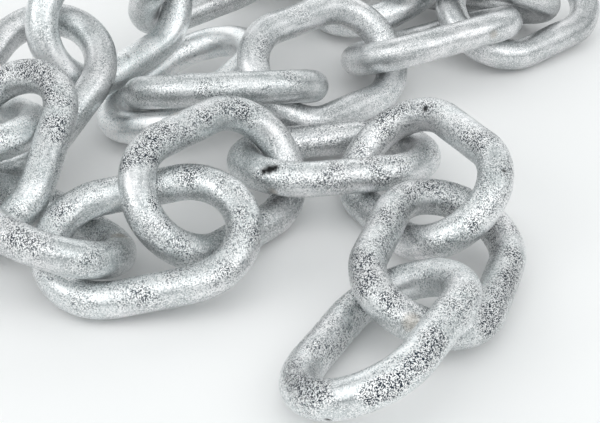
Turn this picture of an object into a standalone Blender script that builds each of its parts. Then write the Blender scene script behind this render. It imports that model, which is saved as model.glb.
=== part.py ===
"""A one-metre length of round-wire steel chain, lying loose in a heap."""

from math import cos, pi, radians, sin

import bpy
import numpy as np
from mathutils import Matrix, Vector

MM = 0.001

# One link, in millimetres: round wire bent into two half circles and two straight legs.
WIRE = 10.0
LINK_LENGTH = 63.0
LINK_WIDTH = 43.5
SECTION_SIDES = 12
CROWN_STEPS = 9

# How the links meet.
GAP = 0.4
TOUCH_GAP = 0.6
SETTLE_ROUNDS = 400
FLOOR_LINK = "link_20"

CROWN_RADIUS = (LINK_WIDTH - WIRE) / 2
HALF_LEG = (LINK_LENGTH - LINK_WIDTH) / 2
TURNING_RADIUS = LINK_LENGTH / 3

# Where each link lies, from the free end at the front to the one in the middle of the heap:
# x, y and z of its middle in millimetres, then the way its length points, how far its flat
# side leans from level, and the way it leans, all in degrees round from +X.
LINKS = (
    (20.0, -71.5, 12.5, 60, 27, 152),
    (36.5, -40.5, 12.5, 71, 17, -22),
    (34.5, -5.0, 15.5, -63, 35, -160),
    (10.0, 10.0, 12.0, 16, 14, 87),
    (-23.5, -11.5, 18.0, 49, 45, -37),
    (-41.0, -32.5, 13.5, 7, 21, -106),
    (-71.5, -25.0, 13.5, -48, 28, 52),
    (-84.0, -1.0, 20.5, 78, 32, -142),
    (-97.5, 16.0, 18.0, -58, 17, 120),
    (-82.5, 34.5, 20.0, 56, 29, -93),
    (-58.5, 62.5, 31.0, 50, 64, -43),
    (-27.0, 90.0, 29.5, 31, 58, 125),
    (-8.0, 120.0, 20.5, -80, 20, 58),
    (-6.5, 150.5, 14.0, 64, 33, 154),
    (16.5, 165.5, 22.0, 47, 41, -108),
    (31.5, 154.5, 20.5, -53, 38, -17),
    (32.0, 122.0, 11.0, 38, 15, 179),
    (57.0, 106.5, 16.5, -15, 39, 71),
    (74.0, 102.5, 13.0, 39, 26, -55),
    (43.0, 78.5, 13.0, 29, 29, 119),
    (7.5, 57.0, 16.0, 43, 39, -42),
    (-23.0, 43.0, 15.5, 7, 29, 96),
    (-36.5, 54.5, 10.5, 55, 17, 166),
)

GALVANISED = (0.56, 0.59, 0.60, 1.0)


def wire_path(step_angle, leg_steps):
    """The middle line of a link's wire in its own flat plane, length along X."""
    angles = np.arange(-pi / 2, pi / 2 + step_angle / 2, step_angle)
    crown = np.stack([HALF_LEG + CROWN_RADIUS * np.cos(angles), CROWN_RADIUS * np.sin(angles)], axis=1)
    inner = np.linspace(HALF_LEG, -HALF_LEG, leg_steps + 1)[1:-1]
    leg = np.stack([inner, np.full(len(inner), CROWN_RADIUS)], axis=1)
    half = np.concatenate([crown, leg])
    return np.concatenate([half, -half])


def link_axes(heading, lean, lean_way):
    """A link's own X, Y and Z as columns: its length, its width and its flat side's normal."""
    heading, lean, lean_way = radians(heading), radians(lean), radians(lean_way)
    normal = Vector((sin(lean) * cos(lean_way), sin(lean) * sin(lean_way), cos(lean)))
    along = Vector((cos(heading), sin(heading), 0))
    along.z = -along.dot(normal) / normal.z
    along.normalize()
    across = normal.cross(along)
    return np.array([along, across, normal]).T


class Link:
    """One rigid link, moved by small shoves until it rests against its neighbours."""

    flat_line = wire_path(pi / 36, 14)

    def __init__(self, x, y, z, heading, lean, lean_way):
        self.middle = np.array([x, y, z])
        self.axes = link_axes(heading, lean, lean_way)
        self.lean = radians(lean)
        self.held = False

    def line(self):
        return self.middle + self.flat_line @ self.axes[:, :2].T

    def shove(self, point, move):
        """Moves the wire at one point, partly by turning the whole link about its middle."""
        if self.held:
            return
        arm = point - self.middle
        swing = np.cross(arm, move)
        size = np.linalg.norm(move)
        reach = np.dot(swing, swing) / max(size * size, 1e-12)
        share = 1 / (1 + reach / TURNING_RADIUS**2)
        self.middle = self.middle + move * share
        turn = swing * share / TURNING_RADIUS**2
        angle = np.linalg.norm(turn)
        if angle > 1e-9:
            spin = Matrix.Rotation(angle, 3, Vector(turn / angle))
            self.axes = np.array(spin) @ self.axes


def part_pair(first, second, neighbours):
    """Opens the pair to the wanted gap, and draws two linked ones together if they are apart."""
    one, two = first.line(), second.line()
    spans = np.linalg.norm(one[:, None] - two[None], axis=2)
    i, j = np.unravel_index(spans.argmin(), spans.shape)
    span = spans[i, j]
    if span < WIRE + GAP:
        change = WIRE + GAP - span
    elif neighbours and span > WIRE + TOUCH_GAP:
        change = WIRE + TOUCH_GAP - span
    else:
        return
    way = (one[i] - two[j]) / span
    share = 1.0 if first.held or second.held else 0.5
    first.shove(one[i], way * change * share)
    second.shove(two[j], -way * change * share)


def lift_off_floor(link):
    line = link.line()
    low = line[line[:, 2].argmin()]
    if low[2] < WIRE / 2:
        link.shove(low, np.array([0, 0, WIRE / 2 - low[2]]))


def settle(links):
    """Eases the links apart, off the floor and against their neighbours, a little each round."""
    count = len(links)
    for _ in range(SETTLE_ROUNDS):
        for i in range(count):
            for j in range(i + 1, count):
                if np.linalg.norm(links[i].middle - links[j].middle) < LINK_LENGTH + WIRE:
                    part_pair(links[i], links[j], j == i + 1)
        for link in links:
            lift_off_floor(link)


def place_on_floor(link):
    """Holds the link with one leg along the floor, on a flat of its faceted section."""
    flat = WIRE / 2 * cos(pi / SECTION_SIDES)
    link.middle[2] = flat + CROWN_RADIUS * sin(link.lean)
    link.held = True


def galvanised_steel():
    material = bpy.data.materials.new("galvanised_steel")
    material.use_nodes = True
    shader = material.node_tree.nodes["Principled BSDF"]
    shader.inputs["Base Color"].default_value = GALVANISED
    shader.inputs["Metallic"].default_value = 0.85
    shader.inputs["Roughness"].default_value = 0.45
    return material


def bent_wire(name, link, material, collection):
    """The link as a closed curve; its section is turned so that a facet faces down on a leg."""
    path = wire_path(pi / CROWN_STEPS, 1) * MM
    curve = bpy.data.curves.new(name, "CURVE")
    curve.dimensions = "3D"
    curve.twist_mode = "Z_UP"
    curve.bevel_depth = WIRE / 2 * MM
    curve.bevel_resolution = (SECTION_SIDES - 4) // 2
    spline = curve.splines.new("POLY")
    spline.points.add(len(path) - 1)
    for point, (x, y) in zip(spline.points, path):
        point.co = (x, y, 0, 1)
        point.tilt = pi / SECTION_SIDES - link.lean
    spline.use_cyclic_u = True
    spline.use_smooth = True
    curve.materials.append(material)
    piece = bpy.data.objects.new(name, curve)
    collection.objects.link(piece)
    piece.location = Vector(link.middle) * MM
    piece.rotation_euler = Matrix(link.axes).to_euler()
    return piece


def centre(pieces, links, collection):
    """Hangs the links on an empty that puts the heap's box over the origin."""
    lines = np.concatenate([link.line() for link in links])
    middle = (lines.max(axis=0) + lines.min(axis=0)) / 2
    heap = bpy.data.objects.new("heap", None)
    collection.objects.link(heap)
    heap.location = (-middle[0] * MM, -middle[1] * MM, 0)
    for piece in pieces:
        piece.parent = heap


def build():
    for thing in list(bpy.data.objects):
        bpy.data.objects.remove(thing)
    collection = bpy.data.collections.new("steel_chain")
    bpy.context.scene.collection.children.link(collection)
    links = {f"link_{i + 1:02d}": Link(*row) for i, row in enumerate(LINKS)}
    place_on_floor(links[FLOOR_LINK])
    settle(list(links.values()))
    steel = galvanised_steel()
    pieces = [bent_wire(name, link, steel, collection) for name, link in links.items()]
    centre(pieces, list(links.values()), collection)


build()
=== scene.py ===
from math import atan2, pi, radians

import bmesh
import bpy
import numpy as np
from mathutils import Matrix, Vector, noise


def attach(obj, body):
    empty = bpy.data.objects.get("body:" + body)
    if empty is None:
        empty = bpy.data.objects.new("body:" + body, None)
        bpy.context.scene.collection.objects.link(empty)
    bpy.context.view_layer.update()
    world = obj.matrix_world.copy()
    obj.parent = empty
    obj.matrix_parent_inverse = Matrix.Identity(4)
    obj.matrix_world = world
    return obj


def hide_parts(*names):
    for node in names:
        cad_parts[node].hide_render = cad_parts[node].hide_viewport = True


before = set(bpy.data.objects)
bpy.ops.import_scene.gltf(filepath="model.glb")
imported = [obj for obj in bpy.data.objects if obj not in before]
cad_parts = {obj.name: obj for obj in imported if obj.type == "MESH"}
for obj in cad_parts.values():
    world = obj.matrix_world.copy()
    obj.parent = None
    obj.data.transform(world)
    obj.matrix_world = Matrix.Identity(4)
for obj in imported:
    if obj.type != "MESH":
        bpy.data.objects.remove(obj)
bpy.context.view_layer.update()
print("frame loaded,", len(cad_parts), "links")


def makeMaterial(name):
    material = bpy.data.materials.new(name)
    material.use_nodes = True
    nodes = material.node_tree.nodes
    nodes.clear()
    output = nodes.new("ShaderNodeOutputMaterial")
    shader = nodes.new("ShaderNodeBsdfPrincipled")
    material.node_tree.links.new(shader.outputs["BSDF"], output.inputs["Surface"])
    return material, nodes, material.node_tree.links, shader


def fill(links, socket, value):  # a value is another node's output or plain numbers
    if hasattr(value, "links"):
        links.new(value, socket)
    else:
        socket.default_value = value


def noiseNode(nodes, links, coordinates, scale, detail=3, roughness=0.6):
    node = nodes.new("ShaderNodeTexNoise")
    node.inputs["Scale"].default_value = scale
    node.inputs["Detail"].default_value = detail
    node.inputs["Roughness"].default_value = roughness
    links.new(coordinates, node.inputs["Vector"])
    return node.outputs["Fac"]


def ramp(nodes, links, value, reach, start=(0, 0, 0, 1), end=(1, 1, 1, 1)):
    node = nodes.new("ShaderNodeValToRGB")
    for element, position, colour in zip(node.color_ramp.elements, reach, (start, end)):
        element.position = position
        element.color = colour
    links.new(value, node.inputs["Fac"])
    return node.outputs["Color"]


def mixColours(nodes, links, amount, first, second, blend="MIX"):
    node = nodes.new("ShaderNodeMix")
    node.data_type = "RGBA"
    node.blend_type = blend
    node.clamp_result = True
    sockets = [socket for socket in node.inputs if socket.enabled]
    for socket, value in zip(sockets, (amount, first, second)):
        fill(links, socket, value)
    return [output for output in node.outputs if output.enabled][0]


def calculate(nodes, links, operation, *values, kind="ShaderNodeMath"):
    node = nodes.new(kind)
    node.operation = operation
    for socket, value in zip(node.inputs, values):
        fill(links, socket, value)
    return [output for output in node.outputs if output.enabled][0]


def attribute(nodes, name, output="Fac"):
    node = nodes.new("ShaderNodeAttribute")
    node.attribute_name = name
    return node.outputs[output]


# a pale floor, soft boxes and the camera
studio = {
    "floorSize": 6.0,
    "floorColour": (0.93, 0.93, 0.93, 1),
    "floorRoughness": 0.9,
    "worldColour": (0.50, 0.53, 0.535, 1),
    "cameraPlace": (0.0105, -0.4069, 0.2541),
    "cameraLookDown": 35,
    "lens": 92,  # for the usual 36 mm wide sensor
    "boxColour": (1, 0.99, 0.985),
    "boxes": {  # place in metres, width, height, power in watts; each is aimed at the heap
        "front": ((0.0, -0.80, 1.00), 3.6, 1.2, 10.5),
        "left": ((-1.2, -0.40, 1.00), 1.4, 0.9, 3.8),
        "right": ((1.2, -0.40, 1.00), 1.4, 0.9, 2.6),
        "top": ((0.0, 0.0, 1.50), 1.2, 1.0, 1.8),
        "back": ((0.0, 1.35, 0.75), 3.4, 1.3, 9),
    },
}


def makeFloor():
    bpy.ops.mesh.primitive_plane_add(size=studio["floorSize"])
    floor = bpy.context.object
    floor.name = "floor"
    material, nodes, links, shader = makeMaterial("paleFloor")
    shader.inputs["Base Color"].default_value = studio["floorColour"]
    shader.inputs["Roughness"].default_value = studio["floorRoughness"]
    floor.data.materials.append(material)


def makeLights():
    world = bpy.data.worlds.new("studio")
    world.use_nodes = True
    background = world.node_tree.nodes["Background"]
    background.inputs["Color"].default_value = studio["worldColour"]
    bpy.context.scene.world = world
    for name, (place, width, height, power) in studio["boxes"].items():
        light = bpy.data.lights.new(name, "AREA")
        light.shape = "RECTANGLE"
        light.energy = power
        light.color = studio["boxColour"]
        light.size = width
        light.size_y = height
        lamp = bpy.data.objects.new(name, light)
        lamp.location = place
        lamp.rotation_euler = Vector(place).to_track_quat("Z", "Y").to_euler()
        bpy.context.scene.collection.objects.link(lamp)


def makeCamera():
    camera = bpy.data.cameras.new("camera")
    camera.lens = studio["lens"]
    viewer = bpy.data.objects.new("camera", camera)
    viewer.location = studio["cameraPlace"]
    viewer.rotation_euler = (radians(90 - studio["cameraLookDown"]), 0, 0)
    bpy.context.scene.collection.objects.link(viewer)
    bpy.context.scene.camera = viewer
    bpy.context.scene.view_settings.view_transform = "Standard"


# each reach is where a noise starts to show and where it shows fully
zinc = {
    "pale": (0.83, 0.85, 0.855, 1),
    "grey": (0.47, 0.505, 0.51, 1),
    "metallic": 0.95,
    "cloudScale": 130,
    "cloudReach": (0.38, 0.62),
    "grainShare": (0.9, 0.2),  # grains instead of clouds: more where there is more grain and glint, and some everywhere
    "warmth": (1.03, 0.995, 0.998, 1),
    "warmScale": 35,
    "warmReach": (0.45, 0.6),
    "streak": (0.24, 0.26, 0.28, 1),
    "streakScale": 1300,
    "streakReach": (0.52, 0.72),
    "streakStrength": 0.45,
    "roughScale": 260,
    "roughReach": (0.3, 0.7),
    "roughness": (0.30, 0.42),
    "sandPolish": 0.12,
    "stain": (0.38, 0.33, 0.27, 1),
    "pit": (0.02, 0.02, 0.02, 1),
}

# each pair called share is how much it grows with the grain and glint amount, and how much there is
# everywhere
# the zinc's grain; its dark and bright grain colours also paint the reflections and glints of tiny
# facets
grainsAndGlints = {
    "cellScale": 3900,
    "driftScale": 2600,
    "driftShare": 0.15,
    "darkGrainAndReflection": (0.02, 0.03, 0.045, 1),
    "darkShare": (0.3, 0.66),
    "darkReach": (0.46, 0.54),
    "darkStrengthShare": (0.85, 0.15),
    "brightGrainAndGlint": (0.92, 0.92, 0.92, 1),
    "brightShare": (0.2, 0.19),
    "brightReach": (0.9, 0.96),
    "brightStrength": 0.7,
    "depth": 0.0003,
    "grainTilt": 0.5,
}


def sandCells(nodes, links, place):  # tiny flat grains, each with its own random colour
    node = nodes.new("ShaderNodeTexVoronoi")
    node.inputs["Scale"].default_value = grainsAndGlints["cellScale"]
    links.new(place, node.inputs["Vector"])
    return node.outputs["Color"]


def zincColour(nodes, links, place, grainAndGlintAmount, clouds, cells):
    grainy = calculate(nodes, links, "MULTIPLY_ADD", grainAndGlintAmount, *zinc["grainShare"])
    speckled = mixColours(nodes, links, grainy, clouds, cells)
    colour = ramp(nodes, links, speckled, zinc["cloudReach"], zinc["grey"], zinc["pale"])
    warmth = noiseNode(nodes, links, place, zinc["warmScale"])
    warmth = ramp(nodes, links, warmth, zinc["warmReach"])
    warmth = calculate(nodes, links, "MAXIMUM", warmth, attribute(nodes, "warmth"))
    colour = mixColours(nodes, links, warmth, colour, zinc["warmth"], blend="MULTIPLY")
    alongWire = attribute(nodes, "wirePlace", "Vector")
    streaks = noiseNode(nodes, links, alongWire, zinc["streakScale"])
    streaks = ramp(nodes, links, streaks, zinc["streakReach"])
    streaks = calculate(nodes, links, "MULTIPLY", streaks, zinc["streakStrength"])
    return mixColours(nodes, links, streaks, colour, zinc["streak"])


def grainAndGlintColour(nodes, links, colour, grainAndGlintAmount, cells, drift):  # dark and bright grains over the zinc: partly its own grain, partly painted reflections of the dark room in the dark ones and painted glints in the bright ones
    mixed = mixColours(nodes, links, grainsAndGlints["driftShare"], cells, drift)
    darkGrainAndReflection = calculate(nodes, links, "MULTIPLY_ADD", grainAndGlintAmount, *grainsAndGlints["darkShare"])
    darkGrainAndReflection = calculate(nodes, links, "SUBTRACT", darkGrainAndReflection, mixed)
    darkGrainAndReflection = ramp(nodes, links, darkGrainAndReflection, grainsAndGlints["darkReach"])
    strength = calculate(nodes, links, "MULTIPLY_ADD", grainAndGlintAmount, *grainsAndGlints["darkStrengthShare"])
    darkGrainAndReflection = calculate(nodes, links, "MULTIPLY", darkGrainAndReflection, strength)
    brightGrainAndGlint = calculate(nodes, links, "MULTIPLY_ADD", grainAndGlintAmount, *grainsAndGlints["brightShare"])
    brightGrainAndGlint = calculate(nodes, links, "ADD", brightGrainAndGlint, mixed)
    brightGrainAndGlint = ramp(nodes, links, brightGrainAndGlint, grainsAndGlints["brightReach"])
    brightGrainAndGlint = calculate(nodes, links, "MULTIPLY", brightGrainAndGlint, grainsAndGlints["brightStrength"])
    colour = mixColours(nodes, links, darkGrainAndReflection, colour, grainsAndGlints["darkGrainAndReflection"])
    return mixColours(nodes, links, brightGrainAndGlint, colour, grainsAndGlints["brightGrainAndGlint"])


def markColour(nodes, links, colour, clouds):  # each link's tone, partly its own and partly painted light and shade, then stains and pits
    colour = mixColours(nodes, links, 1, colour, attribute(nodes, "paleness"), blend="MULTIPLY")
    stained = calculate(nodes, links, "MULTIPLY", attribute(nodes, "stain"), clouds)
    colour = mixColours(nodes, links, stained, colour, zinc["stain"])
    return mixColours(nodes, links, attribute(nodes, "pit"), colour, zinc["pit"])


def zincRoughness(nodes, links, place, grainAndGlintAmount):
    dullness = noiseNode(nodes, links, place, zinc["roughScale"], detail=4)
    low, high = [(value, value, value, 1) for value in zinc["roughness"]]
    dull = ramp(nodes, links, dullness, zinc["roughReach"], low, high)
    polish = calculate(nodes, links, "MULTIPLY", grainAndGlintAmount, zinc["sandPolish"])
    return calculate(nodes, links, "SUBTRACT", dull, polish)


def sandNormal(nodes, links, grainAndGlintAmount, cells, drift):  # each grain faces its own way
    bump = nodes.new("ShaderNodeBump")
    links.new(grainAndGlintAmount, bump.inputs["Strength"])
    bump.inputs["Distance"].default_value = grainsAndGlints["depth"]
    links.new(drift, bump.inputs["Height"])
    vectorMath = "ShaderNodeVectorMath"
    centred = calculate(nodes, links, "SUBTRACT", cells, (0.5, 0.5, 0.5), kind=vectorMath)
    tilt = nodes.new(vectorMath)
    tilt.operation = "SCALE"
    links.new(centred, tilt.inputs["Vector"])
    amount = calculate(nodes, links, "MULTIPLY", grainAndGlintAmount, grainsAndGlints["grainTilt"])
    links.new(amount, tilt.inputs["Scale"])
    tilted = calculate(
        nodes, links, "ADD", bump.outputs["Normal"], tilt.outputs["Vector"], kind=vectorMath)
    return calculate(nodes, links, "NORMALIZE", tilted, kind=vectorMath)


def zincMaterial():
    material, nodes, links, shader = makeMaterial("galvanisedSteel")
    place = nodes.new("ShaderNodeTexCoord").outputs["Object"]
    grainAndGlintAmount = attribute(nodes, "grainAndGlintAmount")
    clouds = noiseNode(nodes, links, place, zinc["cloudScale"], detail=5)
    cells = sandCells(nodes, links, place)
    drift = noiseNode(nodes, links, place, grainsAndGlints["driftScale"], detail=2)
    colour = zincColour(nodes, links, place, grainAndGlintAmount, clouds, cells)
    colour = grainAndGlintColour(nodes, links, colour, grainAndGlintAmount, cells, drift)
    colour = markColour(nodes, links, colour, clouds)
    links.new(colour, shader.inputs["Base Color"])
    shader.inputs["Metallic"].default_value = zinc["metallic"]
    links.new(zincRoughness(nodes, links, place, grainAndGlintAmount), shader.inputs["Roughness"])
    links.new(sandNormal(nodes, links, grainAndGlintAmount, cells, drift), shader.inputs["Normal"])
    return material


linkSize = {
    "wire": 0.010,
    "length": 0.063,
    "width": 0.0435,
    "sides": 48,
    "crownSteps": 104,
    "legSteps": 40,
    "streakLength": 0.07,  # streaks are drawn longer as this gets smaller
    "crownShift": 0.1,  # keeps the crowns' streaks apart from the legs'
}


def vertsOf(edges):
    return list(dict.fromkeys(vertex for edge in edges for vertex in edge.verts))


def sortFaces(shape):  # the extruding leaves them in another order each run
    shape.verts.index_update()
    count = len(shape.verts)

    def rank(face):
        first, second, third = sorted(vertex.index for vertex in face.verts)[:3]
        return (first * count + second) * count + third

    shape.faces.sort(key=rank)


def bentWire(size):  # one plain link round the origin, its length along X
    radius = size["wire"] / 2
    crown = (size["width"] - size["wire"]) / 2
    halfLeg = (size["length"] - size["width"]) / 2
    shape = bmesh.new()
    ring = bmesh.ops.create_circle(
        shape, segments=size["sides"], radius=radius,
        matrix=Matrix.Translation((-halfLeg, -crown, 0)) @ Matrix.Rotation(pi / 2, 4, "Y"))
    edges = list(dict.fromkeys(edge for vertex in ring["verts"] for edge in vertex.link_edges))
    step = Vector((2 * halfLeg / size["legSteps"], 0, 0))
    for _ in range(size["legSteps"]):
        grown = bmesh.ops.extrude_edge_only(shape, edges=edges)["geom"]
        edges = [item for item in grown if isinstance(item, bmesh.types.BMEdge)]
        edges = [edge for edge in edges if len(edge.link_faces) == 1]
        bmesh.ops.translate(shape, vec=step, verts=vertsOf(edges))
    bmesh.ops.spin(
        shape, geom=edges + vertsOf(edges),
        cent=(halfLeg, 0, 0), axis=(0, 0, 1), angle=pi, steps=size["crownSteps"])
    other = bmesh.ops.duplicate(shape, geom=shape.verts[:] + shape.edges[:] + shape.faces[:])
    turned = [item for item in other["geom"] if isinstance(item, bmesh.types.BMVert)]
    bmesh.ops.rotate(shape, verts=turned, cent=(0, 0, 0), matrix=Matrix.Rotation(pi, 3, "Z"))
    bmesh.ops.remove_doubles(shape, verts=shape.verts[:], dist=radius / 100)
    bmesh.ops.recalc_face_normals(shape, faces=shape.faces[:])
    sortFaces(shape)
    noteWirePlace(shape, halfLeg, crown)
    return shape


def noteWirePlace(shape, halfLeg, crown):  # how far along the wire, and where in its section
    layer = shape.verts.layers.float_vector.new("wirePlace")
    for vertex in shape.verts:
        x, y, z = vertex.co
        side = 1 if x > 0 else -1
        if abs(x) <= halfLeg:
            along = x * (1 if y < 0 else -1)
            away = abs(y) - crown
        else:
            reach = Vector((x - side * halfLeg, y))
            along = linkSize["crownShift"] + crown * atan2(reach.y, reach.x)
            away = reach.length - crown
        vertex[layer] = (along * linkSize["streakLength"], away, z)


def placeOf(node):  # a CAD link's middle and its own axes: length, width and flat side
    points = np.unique(np.round([vertex.co for vertex in node.data.vertices], 7), axis=0)
    middle = points.mean(axis=0)
    axes = np.linalg.eigh(np.cov((points - middle).T))[1]
    normal = axes[:, 0] * (1 if axes[2, 0] > 0 else -1)
    along = axes[:, 2]
    across = np.cross(normal, along)
    place = np.eye(4)
    place[:3, :3] = np.stack([along, across, normal], axis=1)
    place[:3, 3] = middle
    return Matrix(place)


unevenness = {
    "lumpScale": 0.007,  # metres from lump to lump
    "lumpHeight": 0.00012,
    "grainScale": 0.0016,
    "grainHeight": 0.00003,
}


def roughen(shape):  # the zinc skin is never quite even
    shape.normal_update()
    for vertex in shape.verts:
        lump = noise.noise(vertex.co / unevenness["lumpScale"])
        grain = noise.noise(vertex.co / unevenness["grainScale"])
        rise = lump * unevenness["lumpHeight"] + grain * unevenness["grainHeight"]
        vertex.co += vertex.normal * rise


def readVertices(mesh, items, what):
    values = np.empty(len(mesh.vertices) * 3)
    items.foreach_get(what, values)
    return values.reshape(-1, 3)


def keepLayer(mesh, name, values):
    layer = mesh.attributes.new(name, "FLOAT", "POINT")
    layer.data.foreach_set("value", values)


def awayFrom(points, x, y, z, radius):  # metres against millimetres, as a share of the radius
    return np.linalg.norm(points * 1000 - (x, y, z), axis=1) / radius


def addPatches(values, points, patches):
    for x, y, z, radius, change in patches:
        values += change * np.clip(1 - awayFrom(points, x, y, z, radius)**2, 0, 1)


# each link's grain and glint amount from 0 to 1, paleness, and warmth from 0 to 1; the paleness is
# partly the zinc's own tone and partly painted light and painted shade that set how bright each link
# looks
linkSkin = {
    "link_01": (0.46, 1.17, 0.2), "link_02": (0.5, 1.02, 0.1), "link_03": (0.42, 1.13, 0),
    "link_04": (0.42, 1.12, 0), "link_05": (0.44, 1.06, 0), "link_06": (0.46, 1.14, 0.1),
    "link_07": (0.48, 1.04, 0), "link_08": (0.54, 1.06, 0), "link_09": (0.4, 1.28, 0),
    "link_10": (0.26, 0.96, 0), "link_11": (0.28, 1.34, 0), "link_12": (0.28, 0.97, 0),
    "link_17": (0.22, 1.28, 0.5), "link_18": (0.2, 0.9, 0.7), "link_19": (0.15, 1.05, 0.8),
    "link_20": (0.18, 1.05, 0.8), "link_21": (0.24, 1.11, 0.7), "link_22": (0.32, 1.03, 0.2),
    "link_23": (0.24, 1.6, 0.4),
}
usualSkin = (0.3, 1.0, 0)  # on the links behind the heap

# clusters of grain with painted glints and painted dark reflections, set along the edges of the
# highlight bands, and a smoother place or two that paint a clearer highlight: x, y, z and radius in
# millimetres, and how much
grainAndGlintPatches = (
    (46, -31, 27, 4, 0.6), (59, -53, 30, 5, 0.6), (59, -57, 29, 4, 0.5), (66, -63, 28, 5, 0.6),
    (56, -48, 29, 4, 0.4), (65, -71, 23, 4, 0.3), (55, -77, 18, 5, 0.5), (35, -25, 21, 4, 0.4),
    (39, -25, 23, 4, 0.5), (29, -31, 15, 4, 0.4), (34, -29, 17, 4, 0.3), (44, -62, 21, 4, 0.5),
    (48, -61, 20, 4, 0.5), (41, -67, 21, 4, 0.5), (35, -81, 21, 5, 0.6), (33, -86, 21, 4, 0.5),
    (32, -90, 21, 4, 0.5), (33, -76, 22, 3, 0.3), (26, -96, 21, 5, 0.4), (27, -103, 19, 5, 0.4),
    (32, -108, 18, 5, 0.3), (68, -82, 12, 4, 0.6), (66, -89, 11, 5, 0.5), (52, -113, 24, 5, 0.6),
    (49, -119, 24, 5, 0.4), (42, -131, 24, 5, 0.7), (40, -135, 24, 5, 0.6), (36, -138, 24, 5, 0.4),
    (30, -144, 20, 4, 0.7), (27, -144, 19, 4, 0.5), (33, -143, 20, 4, 0.4), (33, -140, 23, 5, 0.3),
    (15, -140, 16, 5, 0.5), (11, -137, 13, 4, 0.3), (22, -110, 5, 6, 0.1), (30, -49, 20, 4, 0.6),
    (33, -52, 17, 4, 0.5), (22, -55, 19, 5, 0.5), (16, -56, 19, 4, 0.4), (20, -52, 21, 3, 0.4),
    (-1, -53, 19, 3, 0.5), (-29, -62, 34, 5, 0.6), (-32, -65, 34, 4, 0.5), (-36, -67, 31, 4, 0.7),
    (-29, -65, 32, 3, 0.6), (-24, -55, 34, 5, 0.5), (-20, -53, 32, 3, 0.4), (-15, -45, 33, 4, 0.8),
    (-11, -41, 33, 4, 0.8), (-6, -38, 31, 4, 0.3), (-28, -76, 25, 3, 0.4), (-25, -78, 21, 3, 0.3),
    (-33, -74, 28, 8, -0.4), (-29, -78, 24, 7, -0.3), (-5, -75, 22, 3, 0.6), (-2, -79, 19, 5, 0.5),
    (-6, -79, 20, 4, 0.3), (-10, -91, 14, 5, 0.4), (-23, -92, 14, 4, 0.3), (-20, -64, 23, 4, 0.3),
    (-11, -69, 22, 4, 0.3), (-63, -30, 37, 4, 0.6), (-61, -35, 37, 4, 0.7), (-60, -39, 35, 4, 0.6),
    (-67, -26, 37, 4, 0.4), (-57, -41, 36, 4, 0.3), (-57, -49, 32, 5, 0.5), (-55, -51, 29, 4, 0.4),
    (-60, -56, 29, 4, 0.3), (-60, -46, 33, 3, 0.3), (-62, -93, 25, 5, 0.3), (-55, -95, 24, 5, 0.3),
    (-45, -95, 20, 5, 0.2), (-18, -20, 27, 4, 0.3), (8, -14, 27, 4, 0.2), (0, 5, 29, 4, 0.5),
    (-1, 0, 27, 3, 0.5), (11, 19, 31, 5, 0.3), (-68, -50, 25, 4, 0.3), (-49, -96, 8, 4, 0.2),
    (-33, -97, 9, 5, 0.2), (60, -106, 10, 6, 0.3), (61, -100, 12, 6, 0.3), (63, -94, 12, 5, 0.3),
    (58, -109, 8, 5, 0.3), (-69, -26, 35, 5, 0.35), (-65, -26, 38, 5, 0.35), (11, -135, 14, 6, 0.35),
    (8, -127, 11, 5, 0.3), (13, -141, 13, 5, 0.2), (68, -83, 11, 4, 0.3), (67, -88, 10, 4, 0.4),
    (65, -94, 10, 4, 0.3), (62, -100, 11, 4, 0.4), (60, -105, 11, 4, 0.4), (57, -109, 10, 4, 0.3),
    (27, -144, 20, 4, 0.3), (30, -143, 20, 4, 0.4), (33, -142, 21, 4, 0.3), (36, -140, 22, 4, 0.2),
    (20, -140, 19, 5, -0.35), (22, -142, 20, 5, -0.3), (26, -141, 21, 4, -0.2), (11, -132, 13, 5, 0.25),
    (13, -139, 15, 5, 0.2), (26, -94, 22, 5, 0.3), (27, -101, 20, 4, 0.3), (31, -137, 23, 5, -0.2),
    (35, -135, 24, 4, -0.15),
)

grainAndGlintSpread = {
    "driftSize": 0.008,  # metres from a sandy place to the next
    "driftStrength": 1.3,
    "upward": (0, -0.4, 0.917),  # grain settles on the side that faces this way, up and toward the front lamps, and the painted glints go with it
    "upwardEnough": 0.7,
    "below": 0.45,  # share that is left on the other side
    "least": 0.12,
}


def spreadGrainAndGlint(mesh, level):
    points = readVertices(mesh, mesh.vertices, "co")
    facing = readVertices(mesh, mesh.vertex_normals, "vector") @ grainAndGlintSpread["upward"]
    drift = [noise.fractal(point, 1.0, 2.0, 3) for point in points / grainAndGlintSpread["driftSize"]]
    values = level * (1 + grainAndGlintSpread["driftStrength"] * np.array(drift))
    addPatches(values, points, grainAndGlintPatches)
    below = grainAndGlintSpread["below"]
    # fewer grains and fewer painted glints on the sides turned away from the front lamps
    values *= below + (1 - below) * np.clip(facing / grainAndGlintSpread["upwardEnough"], 0, 1)
    keepLayer(mesh, "grainAndGlintAmount", values.clip(grainAndGlintSpread["least"], 1))


# where the zinc is made paler or duller, written as the clusters of grain are: partly its own tone,
# partly painted highlight and painted shade that set how bright each place looks
palePatches = (
    (30, -136, 23, 12, 0.14), (34, -134, 24, 12, 0.14), (29, -30, 15, 9, 0.14), (61, -63, 29, 9, -0.12),
    (66, -92, 10, 9, -0.12), (-65, -2, 39, 10, -0.3), (14, -12, 23, 9, -0.17), (38, 9, 9, 10, 0.16),
    (23, -6, 8, 10, -0.15), (-3, 2, 28, 8, -0.1), (106, 53, 10, 12, -0.19), (29, 16, 16, 8, 0.24),
    (-61, -66, 23, 9, 0.12), (9, -132, 12, 8, -0.08), (-6, -45, 19, 9, 0.1), (78, 32, 7, 9, 0.08),
)


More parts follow.
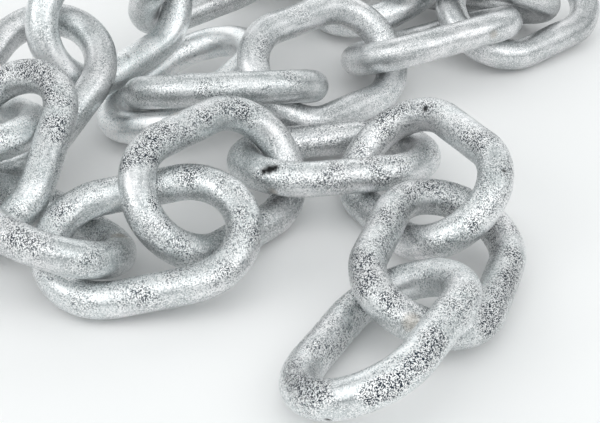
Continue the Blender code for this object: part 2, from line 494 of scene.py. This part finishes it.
def setTone(mesh, pale, warmth):
    # paleness per link and per place: the zinc's own tone together with painted light and painted shade
    paleness = np.full(len(mesh.vertices), pale)
    addPatches(paleness, readVertices(mesh, mesh.vertices, "co"), palePatches)
    keepLayer(mesh, "paleness", paleness)
    keepLayer(mesh, "warmth", np.full(len(mesh.vertices), warmth))


# single marks: x, y, z and radius in millimetres
marks = {
    "pit": (
        (0.5, -53, 20, 1.4), (2, -53, 20.5, 1.9), (3.5, -53, 21, 1.5), (17, -143, 10, 1),
        (46, -31, 27, 1.2), (-43, 11, 20, 1), (-24, -47, 34, 1), (65, -65, 28, 0.8),
    ),
    "stain": (
        (-38, -75, 14, 2.8), (38, -113, 15, 3), (26, 31, 12, 2.8), (72, 22, 22, 2),
        (-24, -47, 34, 2), (3, -56, 15, 1.8),
    ),
}
pitDepth = 0.0003


def markSkin(mesh):  # pits are dents too, stains only colour
    points = readVertices(mesh, mesh.vertices, "co")
    outward = readVertices(mesh, mesh.vertex_normals, "vector")
    for kind, places in marks.items():
        values = np.zeros(len(points))
        for place in places:  # full strength out to half the radius
            values = np.maximum(values, np.clip(2 - 2 * awayFrom(points, *place), 0, 1))
        keepLayer(mesh, kind, values)
        if kind == "pit":
            dents = outward * values[:, None] * pitDepth
    mesh.vertices.foreach_set("co", (points - dents).ravel())


def makeLink(name, node, plain, material):
    shape = plain.copy()
    bmesh.ops.transform(shape, matrix=placeOf(node), verts=shape.verts[:])
    roughen(shape)
    mesh = bpy.data.meshes.new(name)
    shape.to_mesh(mesh)
    shape.free()
    mesh.shade_smooth()
    mesh.materials.append(material)
    grainAndGlintAmount, pale, warmth = linkSkin.get(node.name, usualSkin)
    spreadGrainAndGlint(mesh, grainAndGlintAmount)
    setTone(mesh, pale, warmth)
    markSkin(mesh)
    piece = bpy.data.objects.new(name, mesh)
    bpy.context.scene.collection.objects.link(piece)
    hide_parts(node.name)
    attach(piece, "root")


makeFloor()
makeLights()
makeCamera()
print("studio made")
zincSkin = zincMaterial()
print("zinc mixed")
plainLink = bentWire(linkSize)
for name, node in sorted(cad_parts.items()):
    makeLink("wire_" + name, node, plainLink, zincSkin)
plainLink.free()
print("links made")
